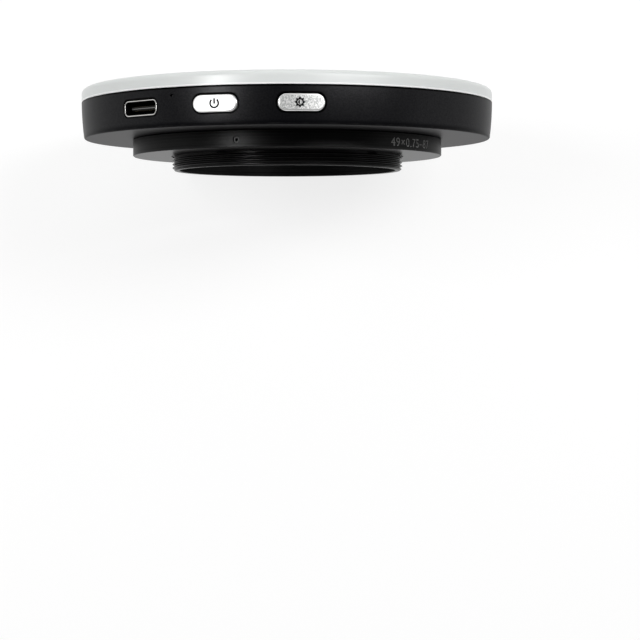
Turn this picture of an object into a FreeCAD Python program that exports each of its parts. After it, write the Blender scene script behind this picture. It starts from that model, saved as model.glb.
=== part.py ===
import FreeCAD, Part
import math
import os

# A ring light that screws into a 49 mm filter thread.
# Lengths are in millimetres and angles in degrees.
# The light's axis is Y. It shines towards +Y, and its thread points to -Y. +Z is up.
# The origin is on the axis, in the plane of the adapter ring's back face.
# A clock angle is measured about the axis from the top, towards +X.

# Outer form of the head
rim_radius = 43.5
rim_draft = 0.5
back_edge_radius = 0.6
ring_width = 15.1

# Housing walls
side_wall = 1.4
inner_wall = 1.2
floor_thickness = 1.3
neck_wall = 1.6

# Adapter ring and its filter thread
adapter_depth = 3.45
adapter_rim = 2.74
adapter_floor = 0.6
adapter_chamfer = 0.15
land_height = 1.6
land_gap = 0.5
neck_clearance = 0.06
head_gap = 0.05
thread_radius = 24.5
thread_pitch = 0.75
thread_crest = 0.1
thread_root = 0.15
thread_depth = 0.45
thread_length = 3.0
thread_relief = 0.35
spigot_wall = 1.5
seat_groove_gap = 0.2
seat_groove_depth = 0.2

# Friction washer and the three clamp screws that ride in the neck's groove
washer_thickness = 0.2
washer_gap = 0.02
clamp_count = 3
clamp_angle = -16.7
clamp_radius = 0.6
clamp_above_neck_end = 0.68
clamp_sink = 0.25
clamp_tip_gap = 0.08
clamp_socket = 0.6
clamp_socket_depth = 0.8
groove_depth = 0.4
screw_clearance = 0.02

# Diffuser
diffuser_height = 2.8
diffuser_thickness = 1.2
front_edge_radius = 1.1
lip_thickness = 0.8
lip_gap = 0.05
lip_above_pipe = 0.3

# Circuit boards
board_thickness = 0.8
board_pad_height = 0.35
board_gap = 0.15
solder_gap = 0.02
control_board_start_angle = -62.0
control_board_end_angle = 25.0
led_board_above_usb = 0.37
joint_above_led_board = 0.8

# Lamps and the white film round them
led_count = 30
led_length = 3.5
led_width = 2.8
led_height = 0.7
led_row_offset = 1.95
film_thickness = 0.15
film_window_gap = 0.12

# Posts and self-tapping screws
post_count = 5
post_start_angle = 30.0
post_step_angle = 60.0
post_radius = 1.6
post_edge_distance = 2.0
screw_radius = 0.6
screw_head_radius = 1.15
screw_head_height = 0.55
screw_bite = 2.6
screw_slot = 0.3
board_screw_angles = (-54.0, 16.0)
board_screw_bite = 0.9

# USB-C socket
usb_angle = -40.3
usb_width = 8.94
usb_height = 3.16
usb_corner_radius = 1.1
usb_wall = 0.3
usb_length = 7.35
usb_plug_depth = 0.9
usb_window_gap = 0.1
usb_tongue_width = 6.69
usb_tongue_thickness = 0.7
usb_tongue_setback = 0.85
contact_count = 12
contact_pitch = 0.5
contact_width = 0.28
contact_height = 0.05
contact_length = 3.2

# Buttons: power and brightness
power_angle = -17.3
brightness_angle = 4.6
button_length = 8.95
button_height = 3.45
button_rise = 0.45
button_edge_radius = 0.3
button_gap = 0.2
button_travel = 0.3
ear_reach = 1.3
ear_height = 2.9
ear_thickness = 0.7
ear_seat_gap = 0.05

# Side-push switches
switch_width = 6.0
switch_height = 3.2
switch_depth = 3.4
plunger_above_board = 1.7
plunger_width = 2.6
plunger_height = 1.3
plunger_reach = 1.8
plunger_overlap = 0.9
plunger_gap = 0.05

# Charge indicator
pinhole_angle = -29.5
pinhole_radius = 0.33
pinhole_drop = 1.6
pipe_gap = 0.03
pipe_sink = 0.6
pipe_bend_inset = 0.4
pipe_foot_inset = 0.8
pipe_foot_gap = 0.15
charge_led_length = 1.6
charge_led_width = 0.8
charge_led_height = 0.6

# Battery cells
cell_names = ("cell_right", "cell_lower_right", "cell_lower_left", "cell_left")
cell_start_angle = 60.0
cell_step_angle = 60.0
cell_spacing = 5.75
cell_gap = 0.4
cell_headroom = 0.4
cell_edge_radius = 0.5
tape_thickness = 0.3
tape_inset = 1.0
wire_radius = 0.35
wire_spacing = 2.0
wire_end_gap = 0.05
wire_lap = 2.0

# Small parts on the control board
charger_angle = -4.0
charger_size = 4.0
driver_angle = -14.0
driver_size = 3.0
chip_height = 0.9
inductor_angle = 7.0
inductor_size = 4.0
inductor_height = 2.2
inductor_radius = 1.7
link_angle = -27.0
link_width = 5.4
link_depth = 2.0
link_pin_count = 4
link_pin_pitch = 1.27
link_pin_radius = 0.2
link_pin_clearance = 0.01
part_inset = 2.3

# Heights along the axis, from the thread to the front
neck_end_y = adapter_floor + washer_thickness + washer_gap
clamp_y = neck_end_y + clamp_above_neck_end
back_y = adapter_depth + head_gap
floor_y = back_y + floor_thickness
control_board_y = floor_y + board_pad_height
control_top_y = control_board_y + board_thickness
usb_y = control_top_y + solder_gap + usb_height / 2
button_y = control_top_y + plunger_above_board
led_board_y = usb_y + usb_height / 2 + led_board_above_usb
led_board_top_y = led_board_y + board_thickness
joint_y = led_board_top_y + joint_above_led_board
front_y = joint_y + diffuser_height
pinhole_y = joint_y - pinhole_drop

# Radii from the axis
opening_radius = rim_radius - ring_width
back_rim_radius = rim_radius - rim_draft
cavity_radius = back_rim_radius - side_wall
inner_wall_radius = opening_radius + inner_wall
neck_radius = opening_radius + neck_wall
cup_radius = neck_radius + neck_clearance
adapter_radius = cup_radius + adapter_rim
bore_radius = thread_radius - spigot_wall
seat_inner_radius = thread_radius + seat_groove_gap
land_radius = opening_radius - land_gap
ear_half_span = button_length / 2 + ear_reach
ear_front_z = math.sqrt(cavity_radius ** 2 - ear_half_span ** 2) - ear_seat_gap
cap_back_z = ear_front_z - ear_thickness
board_radius = cap_back_z - button_travel - board_gap
board_inner_radius = inner_wall_radius + lip_gap + lip_thickness + board_gap
led_middle_radius = (board_inner_radius + board_radius) / 2
post_circle_radius = board_radius - post_edge_distance
switch_front_z = cap_back_z - plunger_reach
part_radius = board_inner_radius + part_inset
land_slope_radius = (bore_radius + land_radius) / 2

# Each cell is as long as leaves the spacing between its inner corners and its neighbour's.
cell_inner_z = inner_wall_radius + cell_gap
half_step = math.radians(cell_step_angle / 2)
cell_length = 2 * (cell_inner_z * math.sin(half_step) - cell_spacing / 2) / math.cos(half_step)
cell_outer_z = math.sqrt((cavity_radius - cell_gap) ** 2 - (cell_length / 2) ** 2)
cell_angles = [cell_start_angle + cell_step_angle * i for i in range(len(cell_names))]

axis = FreeCAD.Vector(0, 1, 0)
centre = FreeCAD.Vector(0, 0, 0)


# A solid turned about the light's axis from an outline of (radius, height) points.
def turned(points):
    outline = [FreeCAD.Vector(radius, y, 0) for radius, y in points]
    face = Part.Face(Part.makePolygon(outline + outline[:1]))
    return face.revolve(centre, axis, 360)


def ring(inner, outer, low, high):
    return turned([(inner, low), (outer, low), (outer, high), (inner, high)])


# The circular edges about the axis at each given (radius, height).
def rings_at(shape, places):
    found = []
    for edge in shape.Edges:
        curve = edge.Curve
        if not isinstance(curve, Part.Circle):
            continue
        on_axis = math.hypot(curve.Center.x, curve.Center.z) < 1e-6
        for radius, y in places:
            if on_axis and abs(curve.Radius - radius) < 1e-6 and abs(curve.Center.y - y) < 1e-6:
                found.append(edge)
    return found


# Pieces are made at the top of the ring, with Z outwards, and turned to their clock angle.
def at_angle(shape, angle):
    turned_shape = shape.copy()
    turned_shape.rotate(centre, axis, angle)
    return turned_shape


def block(width, low_y, high_y, low_z, high_z):
    corner = FreeCAD.Vector(-width / 2, low_y, low_z)
    return Part.makeBox(width, high_y - low_y, high_z - low_z, corner)


def post(radius, low_y, high_y, z):
    return Part.makeCylinder(radius, high_y - low_y, FreeCAD.Vector(0, low_y, z), axis)


def peg(radius, y, low_z, high_z):
    return Part.makeCylinder(radius, high_z - low_z, FreeCAD.Vector(0, y, low_z), FreeCAD.Vector(0, 0, 1))


# A bar with rounded corners, along Z: the section of the socket.
def rounded_bar(length, height, corner_radius, y, low_z, high_z):
    bar = block(length, y - height / 2, y + height / 2, low_z, high_z)
    long_edges = [edge for edge in bar.Edges if edge.BoundBox.ZLength > (high_z - low_z) / 2]
    return bar.makeFillet(corner_radius, long_edges)


# A bar with round ends, along Z: the section of the buttons.
def pill(length, height, y, low_z, high_z):
    half = height / 2
    run = length / 2 - half
    right_top = FreeCAD.Vector(run, y + half, low_z)
    right_side = FreeCAD.Vector(run + half, y, low_z)
    right_bottom = FreeCAD.Vector(run, y - half, low_z)
    left_bottom = FreeCAD.Vector(-run, y - half, low_z)
    left_side = FreeCAD.Vector(-run - half, y, low_z)
    left_top = FreeCAD.Vector(-run, y + half, low_z)
    wire = Part.Wire([
        Part.Arc(right_top, right_side, right_bottom).toShape(),
        Part.LineSegment(right_bottom, left_bottom).toShape(),
        Part.Arc(left_bottom, left_side, left_top).toShape(),
        Part.LineSegment(left_top, right_top).toShape(),
    ])
    return Part.Face(wire).extrude(FreeCAD.Vector(0, 0, high_z - low_z))


# The part of a ring between two clock angles.
def ring_sector(inner, outer, low, high, start, end):
    face = Part.Face(Part.makePolygon([
        FreeCAD.Vector(0, low, inner),
        FreeCAD.Vector(0, low, outer),
        FreeCAD.Vector(0, high, outer),
        FreeCAD.Vector(0, high, inner),
        FreeCAD.Vector(0, low, inner),
    ]))
    return at_angle(face, start).revolve(centre, axis, end - start)


def rim_radius_at(y):
    return rim_radius - rim_draft * (joint_y - y) / (joint_y - back_y)


def post_angles():
    return [post_start_angle + post_step_angle * i for i in range(post_count)]


# A pan-head screw that points towards -Y, with its head's seat at the given height.
def pan_screw(seat_y, bite, z):
    shank = post(screw_radius, seat_y - bite, seat_y, z)
    head = post(screw_head_radius, seat_y, seat_y + screw_head_height, z)
    slot_low = seat_y + screw_head_height / 2
    slot = block(2 * screw_head_radius, slot_low, seat_y + screw_head_height, z - screw_slot / 2, z + screw_slot / 2)
    return shank.fuse(head).cut(slot).removeSplitter()


def adapter_ring():
    outline = [
        (bore_radius, -thread_length),
        (thread_radius - thread_depth, -thread_length),
    ]
    # each groove is cut in the outline as one V with a flat root, from the free end towards the seat
    flank = (thread_pitch - thread_crest - thread_root) / 2
    y = -thread_length + thread_depth
    outline.append((thread_radius, y))
    while y + thread_crest + thread_pitch <= -thread_relief:
        outline.append((thread_radius, y + thread_crest))
        outline.append((thread_radius - thread_depth, y + thread_crest + flank))
        outline.append((thread_radius - thread_depth, y + thread_crest + flank + thread_root))
        y += thread_pitch
        outline.append((thread_radius, y))
    outline += [
        (thread_radius, -thread_relief),
        (thread_radius - thread_depth, -thread_relief),
        (thread_radius - thread_depth, seat_groove_depth),
        (seat_inner_radius, seat_groove_depth),
        (seat_inner_radius, 0),
        (adapter_radius - adapter_chamfer, 0),
        (adapter_radius, adapter_chamfer),
        (adapter_radius, adapter_depth - adapter_chamfer),
        (adapter_radius - adapter_chamfer, adapter_depth),
        (cup_radius, adapter_depth),
        (cup_radius, adapter_floor),
        (land_radius, adapter_floor),
        (land_radius, adapter_floor + land_height),
        (land_slope_radius, adapter_floor + land_height),
        (bore_radius, adapter_floor),
    ]
    body = turned(outline)
    hole = peg(clamp_radius + screw_clearance, clamp_y, neck_radius - groove_depth, adapter_radius + clamp_radius)
    for i in range(clamp_count):
        body = body.cut(at_angle(hole, clamp_angle + 360 / clamp_count * i))
    return body


def clamp_screw():
    tip_z = neck_radius - groove_depth + clamp_tip_gap
    head_z = adapter_radius - clamp_sink
    shank = peg(clamp_radius, clamp_y, tip_z + clamp_radius, head_z)
    start = FreeCAD.Vector(0, clamp_y, tip_z)
    point = Part.makeCone(0, clamp_radius, clamp_radius, start, FreeCAD.Vector(0, 0, 1))
    corner_radius = clamp_socket / 2 / math.cos(math.radians(30))
    corners = []
    for i in range(7):
        turn = math.radians(60 * i)
        x = corner_radius * math.cos(turn)
        y = clamp_y + corner_radius * math.sin(turn)
        corners.append(FreeCAD.Vector(x, y, head_z - clamp_socket_depth))
    socket = Part.Face(Part.makePolygon(corners)).extrude(FreeCAD.Vector(0, 0, clamp_socket_depth))
    return shank.fuse(point).cut(socket)


def clamp_screws():
    return Part.makeCompound([at_angle(clamp_screw(), clamp_angle + 360 / clamp_count * i) for i in range(clamp_count)])


def friction_washer():
    return ring(opening_radius, neck_radius, adapter_floor, adapter_floor + washer_thickness)


# The rear shell: floor, tapered rim, inner wall, the grooved neck behind and the posts inside.
def rear_housing():
    shell = turned([
        (opening_radius, neck_end_y),
        (neck_radius, neck_end_y),
        (neck_radius, clamp_y - groove_depth),
        (neck_radius - groove_depth, clamp_y),
        (neck_radius, clamp_y + groove_depth),
        (neck_radius, back_y),
        (back_rim_radius, back_y),
        (rim_radius, joint_y),
        (cavity_radius, joint_y),
        (cavity_radius, floor_y),
        (inner_wall_radius, floor_y),
        (inner_wall_radius, joint_y),
        (opening_radius, joint_y),
    ])
    shell = shell.makeFillet(back_edge_radius, rings_at(shell, [(back_rim_radius, back_y)]))
    led_post = post(post_radius, floor_y, led_board_y, post_circle_radius)
    led_post = led_post.cut(post(screw_radius + screw_clearance, floor_y, led_board_y, post_circle_radius))
    pad = post(post_radius, floor_y, control_board_y, led_middle_radius)
    pad_hole_y = control_top_y - board_screw_bite - screw_clearance
    pad_hole = post(screw_radius + screw_clearance, pad_hole_y, control_board_y, led_middle_radius)
    shell = shell.fuse([at_angle(led_post, angle) for angle in post_angles()])
    shell = shell.fuse([at_angle(pad, angle) for angle in board_screw_angles])
    inside = cavity_radius - 2 * side_wall
    outside = rim_radius + side_wall
    window = pill(button_length + 2 * button_gap, button_height + 2 * button_gap, button_y, inside, outside)
    usb_window = rounded_bar(
        usb_width + 2 * usb_window_gap, usb_height + 2 * usb_window_gap,
        usb_corner_radius + usb_window_gap, usb_y, inside, outside)
    pinhole = peg(pinhole_radius, pinhole_y, inside, outside)
    cuts = [
        at_angle(window, power_angle),
        at_angle(window, brightness_angle),
        at_angle(usb_window, usb_angle),
        at_angle(pinhole, pinhole_angle),
    ]
    cuts += [at_angle(pad_hole, angle) for angle in board_screw_angles]
    return shell.cut(cuts).removeSplitter()


# The milky front cover, with a lip inside each wall of the housing.
def diffuser():
    lip_end_y = pinhole_y + pinhole_radius + lip_above_pipe
    ceiling_y = front_y - diffuser_thickness
    outer_lip = cavity_radius - lip_gap
    inner_lip = inner_wall_radius + lip_gap
    cover = turned([
        (opening_radius, joint_y),
        (inner_lip, joint_y),
        (inner_lip, lip_end_y),
        (inner_lip + lip_thickness, lip_end_y),
        (inner_lip + lip_thickness, ceiling_y),
        (outer_lip - lip_thickness, ceiling_y),
        (outer_lip - lip_thickness, lip_end_y),
        (outer_lip, lip_end_y),
        (outer_lip, joint_y),
        (rim_radius, joint_y),
        (rim_radius, front_y),
        (opening_radius, front_y),
    ])
    edges = rings_at(cover, [(rim_radius, front_y), (opening_radius, front_y)])
    return cover.makeFillet(front_edge_radius, edges)


def led_board():
    board = ring(board_inner_radius, board_radius, led_board_y, led_board_top_y)
    hole = post(screw_radius + board_gap, led_board_y, led_board_top_y, post_circle_radius)
    return board.cut([at_angle(hole, angle) for angle in post_angles()])


def led_angles():
    return [360 / led_count * i for i in range(led_count)]


# One row of lamps; the inner row holds the warm ones and the outer row the cool ones.
def led_row(row_radius):
    low_z = row_radius - led_width / 2
    lamp = block(led_length, led_board_top_y, led_board_top_y + led_height, low_z, low_z + led_width)
    return Part.makeCompound([at_angle(lamp, angle) for angle in led_angles()])


def reflector_film():
    low_y = led_board_top_y
    high_y = led_board_top_y + film_thickness
    film = ring(board_inner_radius, board_radius, low_y, high_y)
    cuts = []
    for row_radius in (led_middle_radius - led_row_offset, led_middle_radius + led_row_offset):
        reach = led_width / 2 + film_window_gap
        window = block(led_length + 2 * film_window_gap, low_y, high_y, row_radius - reach, row_radius + reach)
        cuts += [at_angle(window, angle) for angle in led_angles()]
    head_hole = post(screw_head_radius + film_window_gap, low_y, high_y, post_circle_radius)
    cuts += [at_angle(head_hole, angle) for angle in post_angles()]
    return film.cut(cuts)


def led_board_screws():
    screw = pan_screw(led_board_top_y, screw_bite, post_circle_radius)
    return Part.makeCompound([at_angle(screw, angle) for angle in post_angles()])


def control_board():
    board = ring_sector(
        board_inner_radius, board_radius, control_board_y, control_top_y, control_board_start_angle, control_board_end_angle)
    hole = post(screw_radius + board_gap, control_board_y, control_top_y, led_middle_radius)
    return board.cut([at_angle(hole, angle) for angle in board_screw_angles])


def control_board_screws():
    screw = pan_screw(control_top_y, board_screw_bite, led_middle_radius)
    return Part.makeCompound([at_angle(screw, angle) for angle in board_screw_angles])


# The socket's front plane is flush with the rim beside it.
def usb_front_z():
    return math.sqrt(rim_radius_at(usb_y) ** 2 - (usb_width / 2) ** 2)


def usb_shell():
    front = usb_front_z()
    back = front - usb_length
    outer = rounded_bar(usb_width, usb_height, usb_corner_radius, usb_y, back, front)
    bore = rounded_bar(
        usb_width - 2 * usb_wall, usb_height - 2 * usb_wall, usb_corner_radius - usb_wall, usb_y, back, front)
    return at_angle(outer.cut(bore), usb_angle)


def usb_tongue():
    front = usb_front_z()
    back = front - usb_length
    inset = usb_wall + solder_gap
    plug = rounded_bar(
        usb_width - 2 * inset, usb_height - 2 * inset, usb_corner_radius - inset, usb_y, back, back + usb_plug_depth)
    half = usb_tongue_thickness / 2
    blade = block(usb_tongue_width, usb_y - half, usb_y + half, back, front - usb_tongue_setback)
    return at_angle(plug.fuse(blade).removeSplitter(), usb_angle)


# Two rows of contact strips, one on each face of the tongue.
def usb_contacts():
    end = usb_front_z() - usb_tongue_setback - contact_width
    strips = []
    for i in range(contact_count):
        x = (i - (contact_count - 1) / 2) * contact_pitch
        for low in (usb_y + usb_tongue_thickness / 2, usb_y - usb_tongue_thickness / 2 - contact_height):
            strip = block(contact_width, low, low + contact_height, end - contact_length, end)
            strip.translate(FreeCAD.Vector(x, 0, 0))
            strips.append(strip)
    return at_angle(Part.makeCompound(strips), usb_angle)


# A pill-shaped cap whose face follows the rim, with an ear each side that keeps it in its window.
def button_cap(angle):
    outside = rim_radius + 2 * button_rise
    bar = pill(button_length, button_height, button_y, cap_back_z, outside)
    half = button_height
    low_y = button_y - half
    high_y = button_y + half
    face_band = turned([
        (0, low_y),
        (rim_radius_at(low_y) + button_rise, low_y),
        (rim_radius_at(high_y) + button_rise, high_y),
        (0, high_y),
    ])
    bar = bar.common(face_band)
    face_edges = [edge for edge in bar.Edges if edge.BoundBox.ZMin > rim_radius - side_wall]
    bar = bar.makeFillet(button_edge_radius, face_edges)
    ears = block(2 * ear_half_span, button_y - ear_height / 2, button_y + ear_height / 2, cap_back_z, ear_front_z)
    return at_angle(bar.fuse(ears).removeSplitter(), angle)


def switch_body(angle):
    base_y = control_top_y + solder_gap
    back_z = switch_front_z - switch_depth
    body = block(switch_width, base_y, base_y + switch_height, back_z, switch_front_z)
    slot_width = plunger_width + 2 * plunger_gap
    slot_half = plunger_height / 2 + plunger_gap
    slot_back = switch_front_z - plunger_overlap - button_travel - plunger_gap
    slot = block(slot_width, button_y - slot_half, button_y + slot_half, slot_back, switch_front_z)
    return at_angle(body.cut(slot), angle)


# The switch's stem, which touches the back of its cap.
def switch_plunger(angle):
    half = plunger_height / 2
    stem = block(plunger_width, button_y - half, button_y + half, switch_front_z - plunger_overlap, cap_back_z)
    return at_angle(stem, angle)


# A clear rod from the charge lamp on the board to the pinhole in the rim.
def light_pipe():
    radius = pinhole_radius - pipe_gap
    bend = FreeCAD.Vector(0, pinhole_y, cavity_radius - pipe_bend_inset)
    foot_y = control_top_y + solder_gap + charge_led_height + pipe_foot_gap + radius
    foot = FreeCAD.Vector(0, foot_y, board_radius - pipe_foot_inset)
    outer_z = rim_radius_at(pinhole_y) - pipe_sink
    stub = Part.makeCylinder(radius, outer_z - bend.z, bend, FreeCAD.Vector(0, 0, 1))
    slope = Part.makeCylinder(radius, bend.distanceToPoint(foot), foot, bend - foot)
    pipe = stub.fuse([slope, Part.makeSphere(radius, bend), Part.makeSphere(radius, foot)])
    return at_angle(pipe, pinhole_angle)


def charge_led():
    low_y = control_top_y + solder_gap
    middle = board_radius - pipe_foot_inset
    half = charge_led_width / 2
    chip = block(charge_led_length, low_y, low_y + charge_led_height, middle - half, middle + half)
    return at_angle(chip, pinhole_angle)


def battery_cell(angle):
    low_y = floor_y + tape_thickness
    cell = block(cell_length, low_y, led_board_y - cell_headroom, cell_inner_z, cell_outer_z)
    long_edges = [edge for edge in cell.Edges if edge.BoundBox.XLength > cell_length / 2]
    return at_angle(cell.makeFillet(cell_edge_radius, long_edges), angle)


def cell_tape():
    pad = block(
        cell_length - 2 * tape_inset, floor_y, floor_y + tape_thickness,
        cell_inner_z + tape_inset, cell_outer_z - tape_inset)
    return Part.makeCompound([at_angle(pad, angle) for angle in cell_angles])


# The clock angle from a cell's middle to just past its end, where a wire of this radius starts.
def cell_end_angle(run_radius):
    reach = cell_length / 2 + wire_end_gap
    return math.degrees(math.asin(reach / (run_radius - wire_radius)))


# A wire along a circle about the axis, lying at the height of the control board's top.
def wire_arc(run_radius, start, end):
    y = control_top_y + solder_gap + wire_radius
    section = Part.Circle(FreeCAD.Vector(0, y, run_radius), FreeCAD.Vector(1, 0, 0), wire_radius)
    face = Part.Face(Part.Wire(section.toShape()))
    return at_angle(face, start).revolve(centre, axis, end - start)


# One pole's wires: a jumper between each pair of cells, and the lead to the control board.
def battery_wires(side):
    middle = (cell_inner_z + cell_outer_z) / 2
    run_radius = middle + side * wire_spacing / 2
    reach = cell_end_angle(run_radius)
    wires = [wire_arc(run_radius, control_board_end_angle - wire_lap, cell_angles[0] - reach)]
    for near, far in zip(cell_angles, cell_angles[1:]):
        wires.append(wire_arc(run_radius, near + reach, far - reach))
    return Part.makeCompound(wires)


def board_chips():
    low_y = control_top_y + solder_gap
    chips = []
    for angle, size in ((charger_angle, charger_size), (driver_angle, driver_size)):
        low_z = part_radius - size / 2
        chips.append(at_angle(block(size, low_y, low_y + chip_height, low_z, low_z + size), angle))
    return Part.makeCompound(chips)


def inductor():
    low_y = control_top_y + solder_gap
    low_z = part_radius - inductor_size / 2
    base = block(inductor_size, low_y, low_y + inductor_height / 2, low_z, low_z + inductor_size)
    drum = post(inductor_radius, low_y, low_y + inductor_height, part_radius)
    return at_angle(base.fuse(drum).removeSplitter(), inductor_angle)


def link_pin_places():
    return [(i - (link_pin_count - 1) / 2) * link_pin_pitch for i in range(link_pin_count)]


# The header that joins the two boards.
def board_link():
    low_z = part_radius - link_depth / 2
    body = block(link_width, control_top_y, led_board_y, low_z, low_z + link_depth)
    for x in link_pin_places():
        hole = post(link_pin_radius + link_pin_clearance, control_top_y, led_board_y, part_radius)
        hole.translate(FreeCAD.Vector(x, 0, 0))
        body = body.cut(hole)
    return at_angle(body, link_angle)


def link_pins():
    pins = []
    for x in link_pin_places():
        pin = post(link_pin_radius, control_top_y, led_board_y, part_radius)
        pin.translate(FreeCAD.Vector(x, 0, 0))
        pins.append(pin)
    return at_angle(Part.makeCompound(pins), link_angle)


parts = {
    "adapter_ring": adapter_ring(),
    "clamp_screws": clamp_screws(),
    "friction_washer": friction_washer(),
    "rear_housing": rear_housing(),
    "diffuser": diffuser(),
    "led_board": led_board(),
    "warm_leds": led_row(led_middle_radius - led_row_offset),
    "cool_leds": led_row(led_middle_radius + led_row_offset),
    "reflector_film": reflector_film(),
    "led_board_screws": led_board_screws(),
    "control_board": control_board(),
    "control_board_screws": control_board_screws(),
    "board_chips": board_chips(),
    "inductor": inductor(),
    "board_link": board_link(),
    "link_pins": link_pins(),
    "usb_shell": usb_shell(),
    "usb_tongue": usb_tongue(),
    "usb_contacts": usb_contacts(),
    "power_switch": switch_body(power_angle),
    "brightness_switch": switch_body(brightness_angle),
    "power_button": button_cap(power_angle),
    "power_plunger": switch_plunger(power_angle),
    "brightness_button": button_cap(brightness_angle),
    "brightness_plunger": switch_plunger(brightness_angle),
    "charge_led": charge_led(),
    "light_pipe": light_pipe(),
    "cell_tape": cell_tape(),
    "battery_wires_red": battery_wires(1),
    "battery_wires_black": battery_wires(-1),
}
for name, angle in zip(cell_names, cell_angles):
    parts[name] = battery_cell(angle)

os.makedirs("parts", exist_ok=True)
for name, shape in parts.items():
    print(name, len(shape.Solids), "solids", round(shape.Volume, 2), "mm3", "valid", shape.isValid())
    shape.exportStep("parts/" + name + ".step")
print("front", round(front_y, 3), "joint", round(joint_y, 3), "usb", round(usb_y, 3), "button", round(button_y, 3))
print("adapter radius", round(adapter_radius, 3), "cap back", round(cap_back_z, 3), "boards", round(board_radius, 3))
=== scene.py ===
import bmesh
import bpy
import math
import numpy as np
from mathutils import Matrix, Vector


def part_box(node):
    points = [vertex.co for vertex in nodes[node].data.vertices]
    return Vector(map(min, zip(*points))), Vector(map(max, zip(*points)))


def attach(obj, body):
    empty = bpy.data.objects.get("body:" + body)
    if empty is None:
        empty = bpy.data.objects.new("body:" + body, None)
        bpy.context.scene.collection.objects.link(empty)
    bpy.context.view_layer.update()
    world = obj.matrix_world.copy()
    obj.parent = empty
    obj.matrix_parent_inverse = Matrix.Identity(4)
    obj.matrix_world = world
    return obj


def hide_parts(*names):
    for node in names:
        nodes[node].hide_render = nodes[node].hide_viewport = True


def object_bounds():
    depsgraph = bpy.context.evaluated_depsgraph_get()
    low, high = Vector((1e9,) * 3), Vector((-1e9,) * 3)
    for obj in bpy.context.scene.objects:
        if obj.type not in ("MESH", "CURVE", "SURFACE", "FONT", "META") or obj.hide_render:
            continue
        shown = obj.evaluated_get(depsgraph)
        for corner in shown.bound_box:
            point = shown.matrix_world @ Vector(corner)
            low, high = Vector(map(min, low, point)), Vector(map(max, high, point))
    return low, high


# A ring light with a screw thread behind.
# The light's axis is Y, it shines towards +Y, and +Z is up, the side of the buttons.
# A clock angle is measured about the axis from the top, towards +X.
# Sizes of pieces are millimetres, which makePiece turns into metres, and angles are degrees.
# The studio's sizes are metres.

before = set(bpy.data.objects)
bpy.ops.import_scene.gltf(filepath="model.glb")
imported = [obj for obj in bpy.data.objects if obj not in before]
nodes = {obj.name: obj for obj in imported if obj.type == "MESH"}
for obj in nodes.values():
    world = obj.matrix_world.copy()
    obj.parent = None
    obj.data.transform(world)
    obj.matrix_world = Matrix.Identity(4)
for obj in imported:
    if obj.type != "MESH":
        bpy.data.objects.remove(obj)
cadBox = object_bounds()
mm = 0.001
print("frame loaded:", len(nodes), "nodes")


# The lowest and highest corners of a node at rest, in millimetres.
def nodeBox(node):
    low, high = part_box(node)
    return low / mm, high / mm


housingLow, housingHigh = nodeBox("rear_housing")
coverLow, coverHigh = nodeBox("diffuser")
adapterLow, adapterHigh = nodeBox("adapter_ring")

# Sizes that several pieces share, read from the frame where the frame shows them
head = {
    "rimRadius": housingHigh.x,
    "jointY": housingHigh.y,
    "neckEndY": housingLow.y,
    "frontY": coverHigh.y,
    "lipEndY": coverLow.y,
    "backY": adapterHigh.y + 0.05,
    "rimDraft": 0.5,
    "openingRadius": housingHigh.x - 15.1,
    "neckRadius": housingHigh.x - 13.5,
    "cavityRadius": housingHigh.x - 1.9,
    "innerWallRadius": housingHigh.x - 13.9,
}
clampSpot = {"angle": -16.7, "count": 3, "y": 1.5, "radius": 0.62}
lampRows = {"count": 30, "warm": 33.3485, "cool": 37.2485}


# The radius of the rim at a height along the axis: full at the joint, then less by the taper times the
# square of the share of the way back, so the rim is softly crowned.
def rimRadiusAt(y):
    share = (head["jointY"] - y) / (head["jointY"] - head["backY"])
    return head["rimRadius"] - head["rimDraft"] * share ** 2


# Puts a mesh, lamp, camera or text into the scene as an object.
def addObject(name, data):
    holder = bpy.data.objects.new(name, data)
    bpy.context.scene.collection.objects.link(holder)
    return holder


# Camera and studio

cameraSet = {
    "focal": 94.71, "sensor": 36.0, "near": 0.01, "place": (0.006856, -0.021888, 0.361032),
    "tilt": -2.063, "roll": -0.153,
}


def addCamera(values):
    camera = bpy.data.cameras.new("camera")
    camera.lens = values["focal"]
    camera.sensor_width = values["sensor"]
    camera.clip_start = values["near"]
    holder = addObject("camera", camera)
    holder.rotation_mode = "ZYX"
    holder.location = values["place"]
    holder.rotation_euler = (math.radians(values["tilt"]), 0, math.radians(values["roll"]))
    bpy.context.scene.camera = holder


# Links an input to another node's output, or sets it to a value.
def join(socket, value):
    if isinstance(value, bpy.types.NodeSocket):
        socket.id_data.links.new(value, socket)
    else:
        socket.default_value = (*value, 1.0) if socket.type == "RGBA" else value


# Adds a shader node to a tree, or if none is given to the tree that its first linked input comes from.
def addNode(kind, inputs=None, tree=None, **settings):
    inputs = inputs or {}
    if tree is None:
        tree = next(value.id_data for value in inputs.values() if isinstance(value, bpy.types.NodeSocket))
    node = tree.nodes.new("ShaderNode" + kind)
    for name, value in settings.items():
        setattr(node, name, value)
    for name, value in inputs.items():
        join(node.inputs[name], value)
    return node


# The output of one Math node.
def calc(operation, first, second=0.0, third=0.0):
    return addNode("Math", {0: first, 1: second, 2: third}, operation=operation).outputs[0]


def times(first, second):
    return calc("MULTIPLY", first, second)


# A value that rises smoothly from 0 to 1 between two limits, which are given in a unit.
def fade(value, limits, unit=1.0):
    inputs = {"Value": value, "From Min": limits[0] * unit, "From Max": limits[1] * unit}
    return addNode("MapRange", inputs, interpolation_type="SMOOTHSTEP").outputs["Result"]


# A colour or a number between two others, by a factor.
def mixColors(factor, first, second):
    return addNode("Mix", {0: factor, 6: first, 7: second}, data_type="RGBA").outputs[2]


def mixValues(factor, first, second):
    return addNode("Mix", {0: factor, 2: first, 3: second}).outputs[0]


def lengthOf(vector):
    return addNode("VectorMath", {0: vector}, operation="LENGTH").outputs["Value"]


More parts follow.
